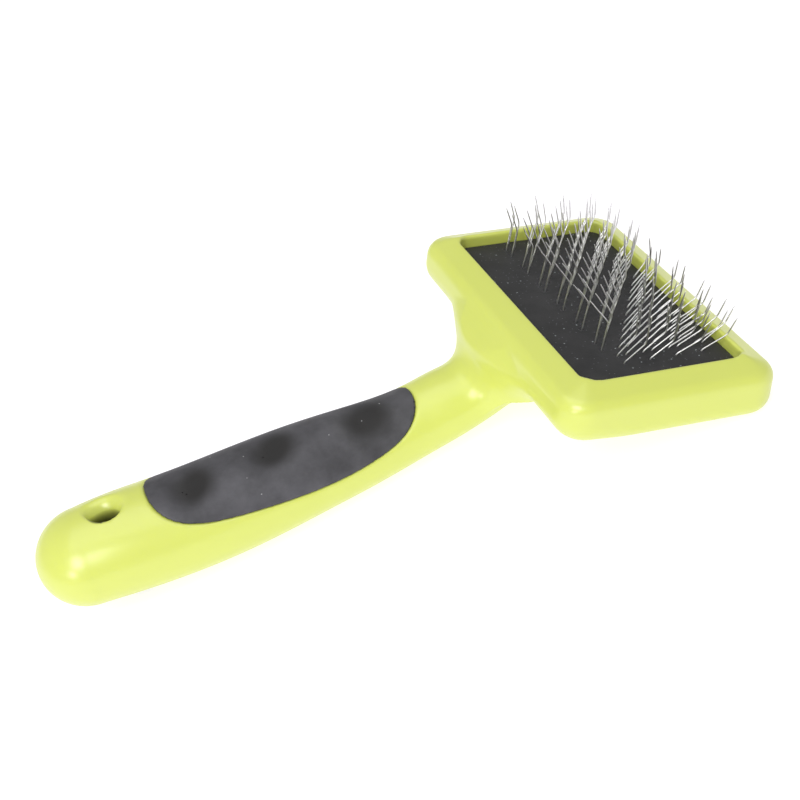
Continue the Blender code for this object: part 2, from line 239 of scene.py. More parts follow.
def rounded_rectangle(x, y, x_low, x_high, half_width, radius):
    """Distance outside a rounded rectangle."""
    across = np.abs(x - (x_low + x_high) / 2) - (x_high - x_low) / 2 + radius
    along = np.abs(y) - half_width + radius
    return (np.minimum(np.maximum(across, along), 0.0) - radius
            + np.hypot(np.maximum(across, 0.0), np.maximum(along, 0.0)))


def spline(stations, steps):
    """A smooth curve through the stations: a natural cubic spline over their chord lengths."""
    knots = np.concatenate(([0.0], np.cumsum(np.hypot(*np.diff(stations[:, :2], axis=0).T))))
    gaps = np.diff(knots)
    count = len(knots)
    system, right = np.eye(count), np.zeros(stations.shape)
    for i in range(1, count - 1):
        system[i, i - 1:i + 2] = gaps[i - 1], 2 * (gaps[i - 1] + gaps[i]), gaps[i]
        before = (stations[i] - stations[i - 1]) / gaps[i - 1]
        after = (stations[i + 1] - stations[i]) / gaps[i]
        right[i] = 6 * (after - before)
    bends = np.linalg.solve(system, right)
    points = []
    for i, gap in enumerate(gaps):
        for t in np.linspace(0.0, 1.0, steps, endpoint=False):
            a, b = 1.0 - t, t
            points.append(a * stations[i] + b * stations[i + 1]
                          + gap * gap / 6 * ((a ** 3 - a) * bends[i] + (b ** 3 - b) * bends[i + 1]))
    return np.array(points + [stations[-1]])


def along_curve(x, z, path):
    """For points (x, z): distance along the path, height above it and the path's other columns there."""
    starts, ends = path[:-1], path[1:]
    steps = ends[:, :2] - starts[:, :2]
    lengths = np.hypot(*steps.T)
    reached = np.concatenate(([0.0], np.cumsum(lengths)))
    flat_x, flat_z = x.ravel(), z.ravel()
    best = np.full(flat_x.shape, np.inf)
    found = np.zeros((len(flat_x), path.shape[1]))
    for i, (start, step, length) in enumerate(zip(starts, steps, lengths)):
        off_x, off_z = flat_x - start[0], flat_z - start[1]
        t = (off_x * step[0] + off_z * step[1]) / length ** 2
        low = -np.inf if i == 0 else 0.0
        high = np.inf if i == len(steps) - 1 else 1.0
        held = np.clip(t, low, high)
        away = (off_x - held * step[0]) ** 2 + (off_z - held * step[1]) ** 2
        nearer = away < best
        best = np.where(nearer, away, best)
        share = np.clip(held, 0.0, 1.0)[:, None]
        columns = start[2:] + (ends[i, 2:] - start[2:]) * share
        height = (step[0] * off_z - step[1] * off_x) / length
        values = np.column_stack((reached[i] + held * length, height, columns))
        found = np.where(nearer[:, None], values, found)
    return [column.reshape(x.shape) for column in found.T]


def oval_distance(across, up, half_width, half_height):
    """Distance outside an ellipse, exact near its edge."""
    ratio = np.sqrt((across / half_width) ** 2 + (up / half_height) ** 2)
    slope = np.sqrt((across / half_width ** 2) ** 2 + (up / half_height ** 2) ** 2)
    return ratio * (ratio - 1.0) / np.maximum(slope, 1e-6)


class Handle:
    """The swept handle's field over a grid, with the side-on coordinates that other fields use."""

    def __init__(self, x, y, z):
        path = spline(HANDLE_STATIONS, 20)
        side_x, side_z = np.broadcast_arrays(x[:, :, 0], z[:, 0, :])
        along, up, half_width, half_height = along_curve(side_x, side_z, path)
        self.along, self.up = along[:, None, :], up[:, None, :]
        self.half_width, self.half_height = half_width[:, None, :], half_height[:, None, :]
        self.length = np.hypot(*np.diff(path[:, :2], axis=0).T).sum()
        self.path = path
        self.field = self.inset(y, 0.0)

    def inset(self, y, depth):
        """Field of the handle shrunk by a depth: oval sections, an egg-shaped butt and a flat far end."""
        width, height, butt = self.half_width - depth, self.half_height - depth, BUTT_LENGTH - depth
        section = oval_distance(y, self.up, width, height)
        back = np.minimum(self.along, 0.0)
        ratio = np.sqrt((y / width) ** 2 + (self.up / height) ** 2 + (back / butt) ** 2)
        slope = np.sqrt((y / width ** 2) ** 2 + (self.up / height ** 2) ** 2 + (back / butt ** 2) ** 2)
        egg = ratio * (ratio - 1.0) / np.maximum(slope, 1e-6)
        return np.maximum(np.where(self.along < 0.0, egg, section), self.along - self.length)

    def station_of(self, x):
        """Distance along the centre line where it passes x."""
        reached = np.concatenate(([0.0], np.cumsum(np.hypot(*np.diff(self.path[:, :2], axis=0).T))))
        return float(np.interp(x, self.path[:, 0], reached))


def window_field(x, y):
    """Distance outside the pad's window, seen along Z."""
    return rounded_rectangle(x, y, 0.0, WINDOW_DEPTH, WINDOW_WIDTH / 2, WINDOW_RADIUS)


def recess_field(x, y, z):
    """The space under the window that the pad fills."""
    return np.maximum(window_field(x, y), RECESS_FLOOR - z)


def head_field(x, y, z):
    """The tray-shaped head: sloping rim, rounded underside and open window."""
    half = WINDOW_WIDTH / 2 + RIM_SIDE
    lean = smooth_step(-z, RIM_DROP, HEAD_THICKNESS - SWELL_LOW)
    arch = np.clip(1.0 - (y / SWELL_REACH) ** 2, 0.0, 1.0) ** 2
    swell = (NEAR_FLARE + NECK_SWELL * arch) * lean
    x = x + swell * np.clip((SWELL_END - x) / (SWELL_END + RIM_NEAR), 0.0, 1.0)
    outline = rounded_rectangle(x, y, -RIM_NEAR, WINDOW_DEPTH + RIM_FAR, half, HEAD_RADIUS)
    under = UNDER_ROUND + (NEAR_UNDER_ROUND - UNDER_ROUND) * smooth_step(-x, -SWELL_END, RIM_NEAR)
    field = round_max(outline, -HEAD_THICKNESS - z, under)
    rim = (outline * RIM_DROP + (z + RIM_DROP) * RIM_NEAR) / math.hypot(RIM_DROP, RIM_NEAR)
    field = round_max(field, rim, CREASE_ROUND)
    return round_max(field, -recess_field(x, y, z), WINDOW_EDGE_ROUND)


def neck_field(x, y, z, handle):
    """An oval column with a sloping shoulder, from the head down to the handle's centre line."""
    set_back = NECK_SLOPE * np.maximum(z + HEAD_THICKNESS, 0.0)
    column = oval_distance(x - NECK_CENTRE_X - set_back, y, NECK_HALF_DEPTH, NECK_HALF_WIDTH)
    shoulder = (z - SHOULDER_TOP - SHOULDER_SLOPE * (x + RIM_NEAR)) / math.hypot(1.0, SHOULDER_SLOPE)
    column = np.maximum(column, np.maximum(shoulder, z - NECK_TOP))
    return np.maximum(column, -handle.up)


def hole_field(x, y, z):
    """The bore that the brush hangs by. Its mouth opens as a soft funnel, on an exponential curve."""
    tilt_sin, tilt_cos = math.sin(REST_TILT), math.cos(REST_TILT)
    right = (x - HOLE_X) * tilt_cos + (z - HOLE_TOP_Z) * tilt_sin
    height = -(x - HOLE_X) * tilt_sin + (z - HOLE_TOP_Z) * tilt_cos
    opening = np.exp(np.minimum(height + MOUTH_LEVEL, MOUTH_LIMIT) / MOUTH_DEPTH)
    radius = np.hypot(right - MOUTH_SHIFT[0] * opening, y - HOLE_Y - MOUTH_SHIFT[1] * opening)
    return radius - HOLE_RADIUS - (HOLE_MOUTH_RADIUS - HOLE_RADIUS) * opening


def polygon_field(x, z, outline):
    """Signed distance outside a closed side-on outline."""
    nearest = np.full(x.shape, np.inf)
    inside = np.zeros(x.shape, bool)
    for (x0, z0), (x1, z1) in zip(outline, np.roll(outline, -1, axis=0)):
        run, rise = x1 - x0, z1 - z0
        t = np.clip(((x - x0) * run + (z - z0) * rise) / (run * run + rise * rise), 0.0, 1.0)
        nearest = np.minimum(nearest, np.hypot(x - x0 - t * run, z - z0 - t * rise))
        crosses = (z0 > z) != (z1 > z)
        if rise:
            inside ^= crosses & (x < x0 + (z - z0) * run / rise)
    return np.where(inside, -nearest, nearest)


def grip_outline():
    """The grip seen side on: its lower edge, closed far above the handle."""
    edge = spline(GRIP_EDGE, 8)
    return np.vstack((edge, ((GRIP_EDGE[-1, 0], GRIP_CLOSE_Z), (GRIP_EDGE[0, 0], GRIP_CLOSE_Z))))


def grip_outline_field(x, z):
    """Distance outside the grip's outline, the same at every Y."""
    side_x, side_z = np.broadcast_arrays(x[:, :, 0], z[:, 0, :])
    return polygon_field(side_x, side_z, grip_outline())[:, None, :]


def body_field(x, y, z):
    """Head, neck and handle in one, less the pad's recess, the hanging hole and the grip's pocket."""
    handle = Handle(x, y, z)
    neck = round_min(handle.field, neck_field(x, y, z, handle), NECK_FILLET)
    fillet = LEAST_FILLET + HEAD_FILLET * smooth_step(-z, RIM_DROP, HEAD_FILLET_DEPTH)
    field = round_min(neck, head_field(x, y, z), fillet)
    field = np.maximum(field, -recess_field(x, y, z))
    field = round_max(field, -hole_field(x, y, z), HOLE_EDGE_ROUND)
    outline = grip_outline_field(x, z)
    pocket = np.maximum(outline - SEAM, -handle.inset(y, GRIP_THICKNESS + SEAM))
    return round_max(field, -pocket, POCKET_EDGE_ROUND)


def grip_field(x, y, z):
    """A shell of the handle inside the grip's outline, pressed in at the dimples."""
    handle = Handle(x, y, z)
    field = handle.field
    for dimple_x, dimple_y, depth in DIMPLES:
        ahead = (handle.along - handle.station_of(dimple_x)) / DIMPLE_LENGTH
        spread = np.minimum(ahead ** 2 + ((y - dimple_y) / DIMPLE_WIDTH) ** 2, 1.0)
        top = smooth_step(handle.up, 0.0, DIMPLE_FADE)
        field = field + depth * (1.0 - spread) ** 2 * top
    outline = grip_outline_field(x, z)
    field = round_max(field, np.broadcast_to(outline, field.shape), GRIP_EDGE_ROUND)
    return np.maximum(field, -handle.inset(y, GRIP_THICKNESS))


def along_axis(axis):
    """The slices that pick the first and the second end of every edge along an axis."""
    first = [slice(None)] * 3
    second = [slice(None)] * 3
    first[axis], second[axis] = slice(None, -1), slice(1, None)
    return first, second


def cell_vertices(field):
    """A vertex in each cell that the surface crosses, at the middle of its crossed edges.

    Returns the vertices, in cells, and a grid with each cell's vertex number, or -1.
    """
    cells = [n - 1 for n in field.shape]
    total = np.zeros(cells + [3], np.float32)
    crossings = np.zeros(cells, np.float32)
    for axis in range(3):
        first, second = along_axis(axis)
        a, b = field[tuple(first)], field[tuple(second)]
        cut = (a < 0) != (b < 0)
        share = np.where(cut, a / np.where(cut, a - b, 1.0), 0.0)
        others = [i for i in range(3) if i != axis]
        for u in (0, 1):
            for v in (0, 1):
                pick = [slice(None)] * 3
                pick[others[0]] = slice(u, u + cells[others[0]])
                pick[others[1]] = slice(v, v + cells[others[1]])
                crossed = cut[tuple(pick)]
                total[..., axis] += np.where(crossed, share[tuple(pick)], 0.0)
                total[..., others[0]] += crossed * float(u)
                total[..., others[1]] += crossed * float(v)
                crossings += crossed
    used = crossings > 0
    number = np.full(cells, -1, np.int64)
    number[used] = np.arange(used.sum())
    return np.argwhere(used) + total[used] / crossings[used][:, None], number


def edge_quads(field, number):
    """A quad round each edge that the surface crosses, joining the vertices of its four cells."""
    solid = field < 0
    quads = []
    for axis in range(3):
        others = [i for i in range(3) if i != axis]
        first, second = along_axis(axis)
        for other in others:
            first[other] = second[other] = slice(1, -1)
        a, b = solid[tuple(first)], solid[tuple(second)]
        for rising in (True, False):
            edge = np.argwhere((a & ~b) if rising else (~a & b))
            edge[:, others] += 1
            corners = []
            for u, v in ((0, 0), (1, 0), (1, 1), (0, 1)):
                corner = edge.copy()
                corner[:, others[0]] -= 1 - u
                corner[:, others[1]] -= 1 - v
                corners.append(number[tuple(corner.T)])
            flip = rising == (axis == 1)
            quads.append(np.column_stack(corners[::-1] if flip else corners))
    return np.vstack(quads)


def evened(place, quads):
    """Each vertex moved half way to the middle of its neighbours, to even out folded and thin quads."""
    total = np.zeros_like(place)
    near = np.concatenate((quads, quads))
    others = np.concatenate((np.roll(quads, 1, axis=1), np.roll(quads, -1, axis=1)))
    count = np.bincount(near.ravel(), minlength=len(place))
    for axis in range(3):
        total[:, axis] = np.bincount(near.ravel(), place[others.ravel(), axis], len(place))
    return (place + total / count[:, None]) / 2


def sample(values, place):
    """Trilinear look-up in a grid."""
    place = np.clip(place, 0.0, np.array(values.shape) - 1.001)
    base = place.astype(int)
    share = place - base
    result = 0.0
    for i in (0, 1):
        for j in (0, 1):
            for k in (0, 1):
                weight = np.abs(1 - np.array((i, j, k)) - share).prod(axis=1)
                result = result + weight * values[base[:, 0] + i, base[:, 1] + j, base[:, 2] + k]
    return result


def settle(place, field, gradient):
    """Move vertices onto the surface along the gradient, and return them with unit normals."""
    for _ in range(2):
        slope = np.column_stack([sample(g, place) for g in gradient])
        size = np.maximum((slope ** 2).sum(1), 1e-6)
        step = sample(field, place) / size
        place = place - np.clip(step, -0.5, 0.5)[:, None] * slope
    slope = np.column_stack([sample(g, place) for g in gradient])
    return place, slope / np.maximum(np.linalg.norm(slope, axis=1), 1e-6)[:, None]


def mesh_of_field(field_of, low, high, pitch):
    """The surface where a field is 0, by surface nets: vertices, quads and the field's own normals."""
    axes = [np.arange(a, b + pitch, pitch) for a, b in zip(low, high)]
    x, y, z = axes[0][:, None, None], axes[1][None, :, None], axes[2][None, None, :]
    field = np.broadcast_to(field_of(x, y, z), [len(a) for a in axes])
    field = np.ascontiguousarray(field).astype(np.float32)
    place, number = cell_vertices(field)
    quads = edge_quads(field, number)
    gradient = np.gradient(field)
    for _ in range(EVENING_ROUNDS):
        place, normals = settle(evened(place, quads), field, gradient)
    vertices = place * pitch + np.array([a[0] for a in axes])
    return vertices, quads, normals


def build_body(to_frame):
    """The moulding: handle, neck and head."""
    body = add_mesh("brush_body", *mesh_of_field(body_field, *BODY_GRID, BODY_PITCH), to_frame)
    body.data.materials.append(lime_plastic(to_frame))
    return body


def build_grip(to_frame):
    """The rubber inlay on the handle's top and sides."""
    grip = add_mesh("handle_grip", *mesh_of_field(grip_field, *GRIP_GRID, GRIP_PITCH), to_frame)
    grip.data.materials.append(grip_rubber(to_frame))
    return grip


# ---------------------------------------------------------------- pins and pad

def row_x(row):
    """X of a row of staples, counted from the handle."""
    return FIRST_ROW_X + ROW_PITCH * row


def staple_legs(row):
    """Y of each staple's two legs in a row: as many staples as the pad has room for."""
    start = FIRST_LEG_Y + LEG_SPACING * ((row - 1) % TWILL_STEPS)
    pitch = TWILL_STEPS * LEG_SPACING
    count = 1 + int((LAST_LEG_Y - LEG_SPACING - start) / pitch)
    return [(start + pitch * staple, start + pitch * staple + LEG_SPACING) for staple in range(count)]


def past_parting(row, y):
    """How far a pin stands on the -Y side of the lane that the twill leaves.

    The pins on that side are brushed forward.
    """
    return FIRST_LEG_Y + LEG_SPACING * (row + 1) - y


def clearing_lean(row):
    """The furthest that a row's pins can lean forward and pass over the edge of the window."""
    return math.degrees(math.atan2(WINDOW_DEPTH - row_x(row) - WIRE, WIRE - PAD_FACE_TOP))


def between(low, high, share):
    """The value a share of the way from low to high, held at both ends."""
    return low + (high - low) * min(max(share, 0.0), 1.0)


def pin_leans(row, y):
    """Leans of a pin's lower and upper parts away from the handle, and of both to the side, in degrees."""
    along = row / (ROW_COUNT - 1)
    past = past_parting(row, y)
    if past > 0.0:
        lower = between(*FORWARD_LOWER, (past - FORWARD_START) / FORWARD_LOWER_REACH)
        upper = between(*FORWARD_UPPER, past / FORWARD_UPPER_REACH)
        return min(lower, clearing_lean(row)), upper, between(*FORWARD_SIDE, y / FIRST_LEG_Y)
    end_share = (y - END_START) / END_REACH
    upper = between(*BACK_UPPER, along) + between(0.0, between(*END_UPPER, along), end_share)
    side = between(BACK_SIDE, between(*END_SIDE, END_SIDE_RATE * along), end_share)
    return between(*BACK_LOWER, along), upper, side


def pin_points(row, y, draw):
    """A pin's centre line from the crown's corner up to its tip, in head axes."""
    lower_lean, upper_lean, side_lean = (math.radians(lean) for lean in pin_leans(row, y))
    turn = draw.gauss(0.0, LEAN_JITTER)
    side = side_lean + draw.gauss(0.0, LEAN_JITTER)

    def leaning(length, angle):
        up = math.cos(angle) * length
        return np.array((math.sin(angle) * length, math.sin(side) * up, math.cos(side) * up))

    x = row_x(row)
    foot = np.array((x, y, CROWN_Z))
    surface = np.array((x, y, PAD_FACE_TOP))
    lower = LOWER_LEG + draw.gauss(0.0, LOWER_SCATTER)
    upper = UPPER_LEG + draw.gauss(0.0, UPPER_SCATTER)
    knee = surface + leaning(lower, lower_lean + turn)
    tip = knee + leaning(upper, upper_lean + turn + draw.gauss(0.0, LEAN_JITTER))
    return [foot, surface, knee, tip]


def rounded_path(points, radius, steps):
    """The corners of a path turned into short curves, with the ends kept."""
    path = [points[0]]
    for before, corner, after in zip(points, points[1:], points[2:]):
        start = corner + (before - corner) * min(MOST_CUT, radius / np.linalg.norm(before - corner))
        end = corner + (after - corner) * min(MOST_CUT, radius / np.linalg.norm(after - corner))
        for step in range(steps + 1):
            t = step / steps
            path.append((1 - t) ** 2 * start + 2 * t * (1 - t) * corner + t * t * end)
    return path + [points[-1]]


def tube(path, radii, sides):
    """Vertices and faces of a round tube along a path, closed at both ends."""
    vertices, faces = [], []
    across = np.array((0.0, 1.0, 0.0))
    for i, (point, radius) in enumerate(zip(path, radii)):
        along = path[min(i + 1, len(path) - 1)] - path[max(i - 1, 0)]
        along = along / np.linalg.norm(along)
        across = across - along * (across @ along)
        if np.linalg.norm(across) < 1e-3:
            across = np.cross(along, (1.0, 0.0, 0.0))
        across = across / np.linalg.norm(across)
        other = np.cross(along, across)
        for side in range(sides):
            angle = 2 * math.pi * side / sides
            vertices.append(point + radius * (math.cos(angle) * across + math.sin(angle) * other))
    for ring in range(len(path) - 1):
        for side in range(sides):
            a, b = ring * sides + side, ring * sides + (side + 1) % sides
            faces.append((a, b, b + sides, a + sides))
    faces.append(tuple(range(sides - 1, -1, -1)))
    faces.append(tuple(range((len(path) - 1) * sides, len(path) * sides)))
    return vertices, faces


def staple(row, legs, draw):
    """One U of wire, with tapered ends: tip, knee, leg, crown, leg, knee, tip."""
    first, second = (pin_points(row, y, draw) for y in legs)
    path = rounded_path(first[::-1] + second, KNEE_ROUND, KNEE_STEPS)
    start = [path[0] + (path[1] - path[0]) * along for along, _ in TAPER]
    end = [path[-1] + (path[-2] - path[-1]) * along for along, _ in TAPER[::-1]]
    path = start + path[1:-1] + end
    radii = [WIRE / 2] * len(path)
    for i, (_, share) in enumerate(TAPER):
        radii[i] = radii[-1 - i] = WIRE / 2 * share
    return tube(path, radii, WIRE_SIDES)


def build_pins(to_frame, draw):
    """One piece for each row of staples."""
    steel = pin_steel()
    rows = []
    for row in range(ROW_COUNT):
        vertices, faces = [], []
        for legs in staple_legs(row):
            more_vertices, more_faces = staple(row, legs, draw)
            faces += [tuple(len(vertices) + i for i in face) for face in more_faces]
            vertices += more_vertices
        obj = add_mesh(f"pins_{row + 1:02d}", vertices, faces, None, to_frame)
        obj.data.materials.append(steel)
        rows.append(obj)
    return rows


def window_grid(clear):
    """X and Y of a fine grid that fills the window up to a gap, its corners drawn in to round ones."""
    xs = np.linspace(clear, WINDOW_DEPTH - clear, round(WINDOW_DEPTH / PAD_STEP))
    ys = np.linspace(clear - WINDOW_WIDTH / 2, WINDOW_WIDTH / 2 - clear, round(WINDOW_WIDTH / PAD_STEP))
    x, y = np.meshgrid(xs, ys, indexing="ij")
    corner = WINDOW_RADIUS - clear
    over_x = np.maximum(np.abs(x - WINDOW_DEPTH / 2) - (WINDOW_DEPTH / 2 - clear - corner), 0.0)
    over_y = np.maximum(np.abs(y) - (WINDOW_WIDTH / 2 - clear - corner), 0.0)
    pull = np.maximum(over_x, over_y) / np.maximum(np.hypot(over_x, over_y), 1e-6)
    pull = np.where(over_x + over_y > 0, pull, 1.0)
    x = x + np.sign(x - WINDOW_DEPTH / 2) * over_x * (pull - 1.0)
    y = y + np.sign(y) * over_y * (pull - 1.0)
    return x, y


def puckers(x, y, depth):
    """A dent with a slight ring round it at each pin."""
    height = np.zeros(x.shape)
    for row in range(ROW_COUNT):
        for leg_y in [leg for legs in staple_legs(row) for leg in legs]:
            reach = np.hypot(x - row_x(row), y - leg_y)
            dent = np.exp(-(reach / PUCKER_REACH) ** 2)
            ring = np.exp(-((reach - PUCKER_RING) / PUCKER_REACH) ** 2) / 3
            height = height + depth * (ring - dent)
    return height


def slab_faces(shape):
    """Faces of a grid above, the same grid below and the walls between them."""
    size = shape[0] * shape[1]
    index = np.arange(size).reshape(shape)
    corners = (index[:-1, :-1], index[1:, :-1], index[1:, 1:], index[:-1, 1:])
    top_faces = np.stack(corners, -1).reshape(-1, 4)
    under_faces = top_faces[:, ::-1] + size
    rim = np.concatenate((index[:, 0], index[-1, 1:], index[-2::-1, -1], index[0, -2:0:-1]))
    beyond = np.roll(rim, -1)
    side_faces = np.stack((rim, rim + size, beyond + size, beyond), -1)
    return np.vstack((top_faces, under_faces, side_faces))


def add_slab(name, top, thickness, to_frame, clear, edge_round, pucker):
    """A layer that fills the window: its edge rolls down, it puckers at the pins and its underside is flat.

    clear is the gap left at the window's wall, and pucker the depth of the dents that the pins draw in.
    """
    x, y = window_grid(clear)
    inward = -window_field(x, y) - clear
    z = top - edge_round * np.exp(-np.maximum(inward, 0.0) / edge_round)
    z = z + WAVE_HEIGHT * np.sin(x * WAVE_TURNS[0] + WAVE_START) * np.sin(y * WAVE_TURNS[1])
    above = np.stack((x, y, z + puckers(x, y, pucker)), -1).reshape(-1, 3)
    below = above.copy()
    below[:, 2] = top - thickness
    slab = add_mesh(name, np.vstack((above, below)), slab_faces(x.shape), None, to_frame)
    slab.data.set_sharp_from_angle(angle=SLAB_SHARP_ANGLE)
    return slab


def build_pad_face(to_frame):
    """The rubber sheet, puckered where each pin comes through."""
    pad = add_slab("pad_rubber", PAD_FACE_TOP, PAD_FACE_THICKNESS, to_frame,
                   clear=0.15, edge_round=0.5, pucker=0.22)
    pad.data.materials.append(pad_rubber())
    return pad


def build_cushion(to_frame):
    """The foam layer, drawn in a little round each pin."""
    top = PAD_FACE_TOP - PAD_FACE_THICKNESS - LAYER_GAP
    cushion = add_slab("foam_cushion", top, CUSHION_THICKNESS, to_frame,
                       clear=0.35, edge_round=0.6, pucker=0.1)
    cushion.data.materials.append(cushion_foam())
    return cushion


def build_foundation(to_frame):
    """The layered cloth that the staples are pushed through."""
    top = PAD_FACE_TOP - PAD_FACE_THICKNESS - CUSHION_THICKNESS - 2 * LAYER_GAP
    foundation = add_slab("cloth_foundation", top, FOUNDATION_THICKNESS, to_frame,
                          clear=0.35, edge_round=0.12, pucker=0.05)
    foundation.data.materials.append(foundation_cloth())
    return foundation


# ---------------------------------------------------------------- materials

def new_material(name, colour, roughness, metallic=0.0):
    """A material and its Principled shader, with plain values on the shader's own sockets."""
    material = bpy.data.materials.new(name)
    material.use_nodes = True
    shader = material.node_tree.nodes["Principled BSDF"]
    shader.inputs["Base Color"].default_value = (*colour, 1.0)
    shader.inputs["Roughness"].default_value = roughness
    shader.inputs["Metallic"].default_value = metallic
    return material, shader


def add_node(material, kind, inputs=None, **settings):
    """A node whose inputs are plain values or links from other sockets."""
    node = material.node_tree.nodes.new(kind)
    for name, value in settings.items():
        setattr(node, name, value)
    for name, value in (inputs or {}).items():
        socket = node.inputs[name]
        if isinstance(value, bpy.types.NodeSocket):
            material.node_tree.links.new(value, socket)
        else:
            socket.default_value = value
    return node


def own_place(material):
    """The point's place in the piece's own axes, in metres."""
    return add_node(material, "ShaderNodeTexCoord").outputs["Object"]


def math_node(material, operation, first, second):
    """One operation on two numbers or links."""
    return add_node(material, "ShaderNodeMath", {0: first, 1: second}, operation=operation).outputs[0]


def ramp(material, factor, stops):
    """A colour ramp over a factor; stops are (position, grey or colour)."""
    node = add_node(material, "ShaderNodeValToRGB", {"Fac": factor})
    elements = node.color_ramp.elements
    while len(elements) < len(stops):
        elements.new(0.5)
    for element, (position, colour) in zip(elements, stops):
        element.position = position
        element.color = (*colour, 1.0) if isinstance(colour, tuple) else (colour, colour, colour, 1.0)
    return node.outputs["Color"]


def noise(material, scale, detail=2.0, roughness=0.5):
    """Noise in the piece's own axes, with the scale in cycles per metre."""
    inputs = {"Vector": own_place(material), "Scale": scale, "Detail": detail, "Roughness": roughness}
    return add_node(material, "ShaderNodeTexNoise", inputs).outputs["Fac"]


def bump(material, shader, height, strength, distance):
    """Fine relief on the shader's normal, with the distance in metres."""
    inputs = {"Height": height, "Strength": strength, "Distance": distance}
    node = add_node(material, "ShaderNodeBump", inputs)
    material.node_tree.links.new(node.outputs["Normal"], shader.inputs["Normal"])


def mix(material, factor, first, second):
    """A blend of two colours by a mask."""
    node = add_node(material, "ShaderNodeMix", data_type="RGBA")
    links = material.node_tree.links
    for socket, value in ((node.inputs[0], factor), (node.inputs[6], first), (node.inputs[7], second)):
        if isinstance(value, bpy.types.NodeSocket):
            links.new(value, socket)
        else:
            socket.default_value = value
    return node.outputs[2]


def specks(material, spacing, size, share, flat=False):
    """Round specks: a mask that is 1 near the middle of a share of random cells.

    spacing is in metres, size is a share of it, and flat keeps the cells to X and Y.
    """
    inputs = {"Vector": own_place(material), "Scale": 1.0 / spacing, "Randomness": 1.0}
    cells = add_node(material, "ShaderNodeTexVoronoi", inputs, voronoi_dimensions="2D" if flat else "3D")
    round_spot = math_node(material, "LESS_THAN", cells.outputs["Distance"], size)
    lot = add_node(material, "ShaderNodeSeparateColor", {0: cells.outputs["Color"]}).outputs[0]
    chosen = math_node(material, "LESS_THAN", lot, share)
    return math_node(material, "MULTIPLY", round_spot, chosen)


def fading(material, reach, full, none, interpolation="LINEAR"):
    """A mask that is 1 nearer than full and 0 beyond none."""
    inputs = {"Value": reach, "From Min": full, "From Max": none, "To Min": 1.0, "To Max": 0.0}
    node = add_node(material, "ShaderNodeMapRange", inputs, interpolation_type=interpolation)
    return node.outputs["Result"]


def bore_shade(material, to_frame):
    """A mask that is 1 inside the hanging hole, round its upright axis: where the bore's painted shade goes.
    """
    inputs = {0: own_place(material), 1: (1.0, 1.0, 0.0)}
    flat_place = add_node(material, "ShaderNodeVectorMath", inputs, operation="MULTIPLY").outputs[0]
    axis = to_frame @ Vector((HOLE_X, HOLE_Y, HOLE_TOP_Z))
    inputs = {0: flat_place, 1: (axis.x, axis.y, 0.0)}
    reach = add_node(material, "ShaderNodeVectorMath", inputs, operation="DISTANCE").outputs["Value"]
    return fading(material, reach, *BORE_SHADE_REACH)


def lime_plastic(to_frame):
    """Satin moulded plastic, a little translucent, with painted shade down in the hanging hole."""
    material, shader = new_material("lime_plastic", LIME, 0.3)
    shader.inputs["Specular IOR Level"].default_value = 0.85
    shader.inputs["Subsurface Weight"].default_value = 0.25
    shader.inputs["Subsurface Radius"].default_value = (1.0, 1.0, 0.2)
    shader.inputs["Subsurface Scale"].default_value = 0.0015
    tint = ramp(material, noise(material, 28.0), ((0.15, LIME_DEEP), (0.85, LIME)))
    # the bore is darkened with painted shade
    colour = mix(material, bore_shade(material, to_frame), tint, BORE_PAINTED_SHADE)
    material.node_tree.links.new(colour, shader.inputs["Base Color"])
    gloss = ramp(material, noise(material, 60.0), ((0.1, 0.26), (0.9, 0.34)))
    material.node_tree.links.new(gloss, shader.inputs["Roughness"])
    bump(material, shader, noise(material, 700.0, 0.0), 0.02, 0.0001)
    return material


def dimple_shade(material, to_frame):
    """A mask of painted shade that is 1 in the middle of each dimple of the grip and fades out round it."""
    place = own_place(material)
    mask = 0.0
    for x, y, _ in DIMPLES:
        top_z = np.interp(x, HANDLE_STATIONS[:, 0], HANDLE_STATIONS[:, 1] + HANDLE_STATIONS[:, 3])
        inputs = {0: place, 1: to_frame @ Vector((x, y, top_z))}
        reach = add_node(material, "ShaderNodeVectorMath", inputs, operation="DISTANCE").outputs["Value"]
        near = fading(material, reach, *DIMPLE_SHADE_REACH, "SMOOTHSTEP")
        mask = math_node(material, "MAXIMUM", mask, near)
    return mask


def grip_rubber(to_frame):
    """Charcoal rubber, greyer where it is rubbed, with painted shade and less dust down in the dimples."""
    material, shader = new_material("grip_rubber", CHARCOAL, 0.55)
    shader.inputs["Specular IOR Level"].default_value = 0.4
    worn = noise(material, 75.0, 5.0, 0.6)
    shade = ramp(material, worn, ((0.32, CHARCOAL), (0.68, CHARCOAL_WORN)))
    # painted shade down in the dimples
    shade = mix(material, dimple_shade(material, to_frame), shade, DIMPLE_PAINTED_SHADE)
    dust = specks(material, 0.0016, 0.12, 0.05)
    colour = mix(material, dust, shade, GRIP_DUST)
    material.node_tree.links.new(colour, shader.inputs["Base Color"])
    gloss = ramp(material, noise(material, 90.0, 3.0), ((0.3, 0.5), (0.7, 0.62)))
    material.node_tree.links.new(gloss, shader.inputs["Roughness"])
    bump(material, shader, noise(material, 3200.0, 3.0, 0.7), 0.35, 0.0001)
    return material


def pad_rubber():
    """Near-black rubber with lint and dust on it."""
    material, shader = new_material("pad_rubber", PAD_BLACK, 0.6)
    shade = ramp(material, noise(material, 120.0, 5.0), ((0.3, PAD_BLACK), (0.72, PAD_WORN)))
    dust = specks(material, 0.0036, 0.055, 0.3, flat=True)
    lint = specks(material, 0.0014, 0.10, 0.25, flat=True)
    colour = mix(material, lint, shade, PAD_LINT)
    colour = mix(material, dust, colour, PAD_DUST)
    material.node_tree.links.new(colour, shader.inputs["Base Color"])
    bump(material, shader, noise(material, 1600.0, 4.0, 0.7), 0.3, 0.00015)
    return material


